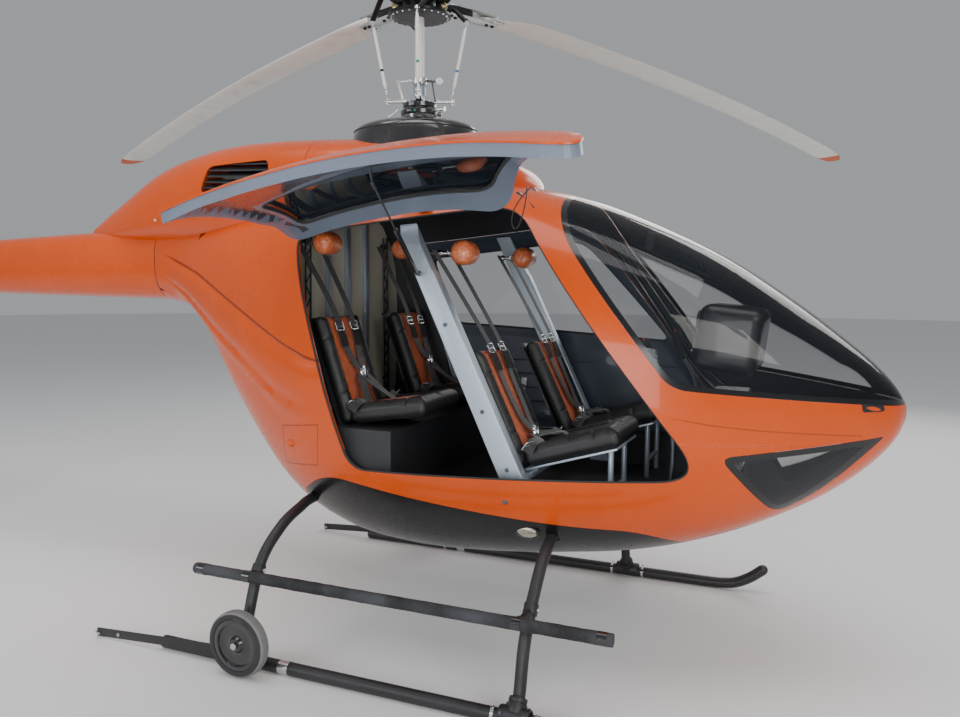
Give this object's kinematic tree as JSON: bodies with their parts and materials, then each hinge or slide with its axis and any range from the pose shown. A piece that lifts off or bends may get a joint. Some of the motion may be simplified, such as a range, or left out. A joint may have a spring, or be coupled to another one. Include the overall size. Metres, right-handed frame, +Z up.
{
  "type": "light helicopter",
  "caption": "Light skid-gear helicopter with a bubble cabin, upward-opening doors, a main rotor on a tall mast and an open-guarded tail rotor.",
  "frame": {"origin": "on the ground under the main rotor mast", "axes": "+X towards the nose, +Y towards the left side, +Z up"},
  "size_m": [9.0103, 7.429, 2.985],
  "materials": {
    "orange_skin": "gloss paint over composite skin",
    "black_gloss": "gloss black paint",
    "tinted_glass": "tinted acrylic",
    "black_leather": "black leather",
    "orange_cloth": "orange headrest cover",
    "satin_aluminium": "satin aluminium",
    "steel": "bright steel",
    "black_paint": "black paint on steel tube",
    "cabin_floor_mat": "dark floor covering",
    "cream_panel": "cream lining panel",
    "wheel_rubber": "solid rubber ground wheel",
    "engine_metal": "plain engine block",
    "blade_white": "off-white blade paint"
  },
  "bodies": {
    "airframe": {"fuselage_body": "orange_skin", "belly_pan": "black_gloss", "canopy": "tinted_glass", "right_chin_window": "tinted_glass", "left_chin_window": "tinted_glass", "cabin_floor": "cabin_floor_mat", "rear_bulkhead": "cream_panel", "engine_deck": "satin_aluminium", "engine": "engine_metal", "main_gearbox": "engine_metal", "right_frame_post": "satin_aluminium", "left_frame_post": "satin_aluminium", "front_right_seat": "black_leather", "front_left_seat": "black_leather", "rear_right_seat": "black_leather", "rear_left_seat": "black_leather", "front_right_headrest": "orange_cloth", "front_left_headrest": "orange_cloth", "rear_right_headrest": "orange_cloth", "rear_left_headrest": "orange_cloth", "front_seat_frame": "satin_aluminium", "rear_seat_box": "black_gloss", "instrument_pod": "black_gloss", "switch_bar": "black_gloss", "right_cyclic_stick": "black_gloss", "left_cyclic_stick": "black_gloss", "right_pedals": "satin_aluminium", "left_pedals": "satin_aluminium", "engine_cowl": "orange_skin", "mast_cowl": "orange_skin", "mast_dome": "black_gloss", "tail_boom": "orange_skin", "upper_fin": "orange_skin", "lower_fin": "orange_skin", "stabiliser": "orange_skin", "tail_gearbox": "satin_aluminium", "fixed_swashplate": "satin_aluminium", "right_skid": "black_paint", "left_skid": "black_paint", "right_step": "black_gloss", "left_step": "black_gloss", "front_cross_tube": "black_paint", "rear_cross_tube": "black_paint"},
    "main_rotor": {"rotor_head": "satin_aluminium", "rotor_blade_1": "blade_white", "rotor_blade_2": "blade_white", "rotor_blade_3": "blade_white", "rotor_blade_4": "blade_white"},
    "tail_rotor_unit": {"tail_rotor": "blade_white"},
    "right_door_leaf": {"right_door": "orange_skin", "right_door_window": "tinted_glass"},
    "left_door_leaf": {"left_door": "orange_skin", "left_door_window": "tinted_glass"},
    "right_strut_cylinder": {"right_strut_sleeve": "black_paint"},
    "left_strut_cylinder": {"left_strut_sleeve": "black_paint"},
    "right_strut_piston": {"right_strut_rod": "steel"},
    "left_strut_piston": {"left_strut_rod": "steel"},
    "right_wheel": {"right_ground_wheel": "wheel_rubber"},
    "left_wheel": {"left_ground_wheel": "wheel_rubber"}
  },
  "joints": [
    {"name": "main_rotor_spin", "type": "hinge", "parent": "airframe", "child": "main_rotor", "pos_m": [0, 0, 2.945], "axis": [0, 0, 1], "continuous": true},
    {"name": "tail_rotor_spin", "type": "hinge", "parent": "airframe", "child": "tail_rotor_unit", "pos_m": [-4.9, 0.265, 1.7], "axis": [0, 1, 0], "continuous": true},
    {"name": "right_door_hinge", "type": "hinge", "parent": "airframe", "child": "right_door_leaf", "pos_m": [-0.3, -0.55, 1.851], "axis": [0.9921, 0.0232, 0.1235], "range_deg": [0, 84.7]},
    {"name": "left_door_hinge", "type": "hinge", "parent": "airframe", "child": "left_door_leaf", "pos_m": [-0.3, 0.55, 1.851], "axis": [0.9921, -0.0232, 0.1235], "range_deg": [0, 84.7]},
    {"name": "right_strut_swing", "type": "hinge", "parent": "airframe", "child": "right_strut_cylinder", "pos_m": [0.3, -0.604, 1.66], "axis": [0.8076, 0.4028, 0.4307], "range_deg": [0, 109.5]},
    {"name": "right_strut_slide", "type": "slide", "parent": "right_strut_cylinder", "child": "right_strut_piston", "axis": [0.1716, -0.8593, 0.4818], "range_m": [-0.2602, 0]},
    {"name": "left_strut_swing", "type": "hinge", "parent": "airframe", "child": "left_strut_cylinder", "pos_m": [0.3, 0.604, 1.66], "axis": [0.8076, -0.4028, 0.4307], "range_deg": [0, 109.5]},
    {"name": "left_strut_slide", "type": "slide", "parent": "left_strut_cylinder", "child": "left_strut_piston", "axis": [0.4749, 0.0112, -0.88], "range_m": [0, 0.2602]},
    {"name": "right_wheel_spin", "type": "hinge", "parent": "airframe", "child": "right_wheel", "pos_m": [-0.325, -0.984, 0.143], "axis": [0, 1, 0], "continuous": true},
    {"name": "left_wheel_spin", "type": "hinge", "parent": "airframe", "child": "left_wheel", "pos_m": [-0.325, 0.984, 0.143], "axis": [0, 1, 0], "continuous": true}
  ],
  "couplings": [
    {"joint": "right_strut_swing", "follows": "right_door_hinge", "ratio": 1.2922},
    {"joint": "right_strut_slide", "follows": "right_door_hinge", "m_per_rad": -0.17596},
    {"joint": "left_strut_swing", "follows": "left_door_hinge", "ratio": 1.2922},
    {"joint": "left_strut_slide", "follows": "left_door_hinge", "m_per_rad": 0.17596}
  ]
}
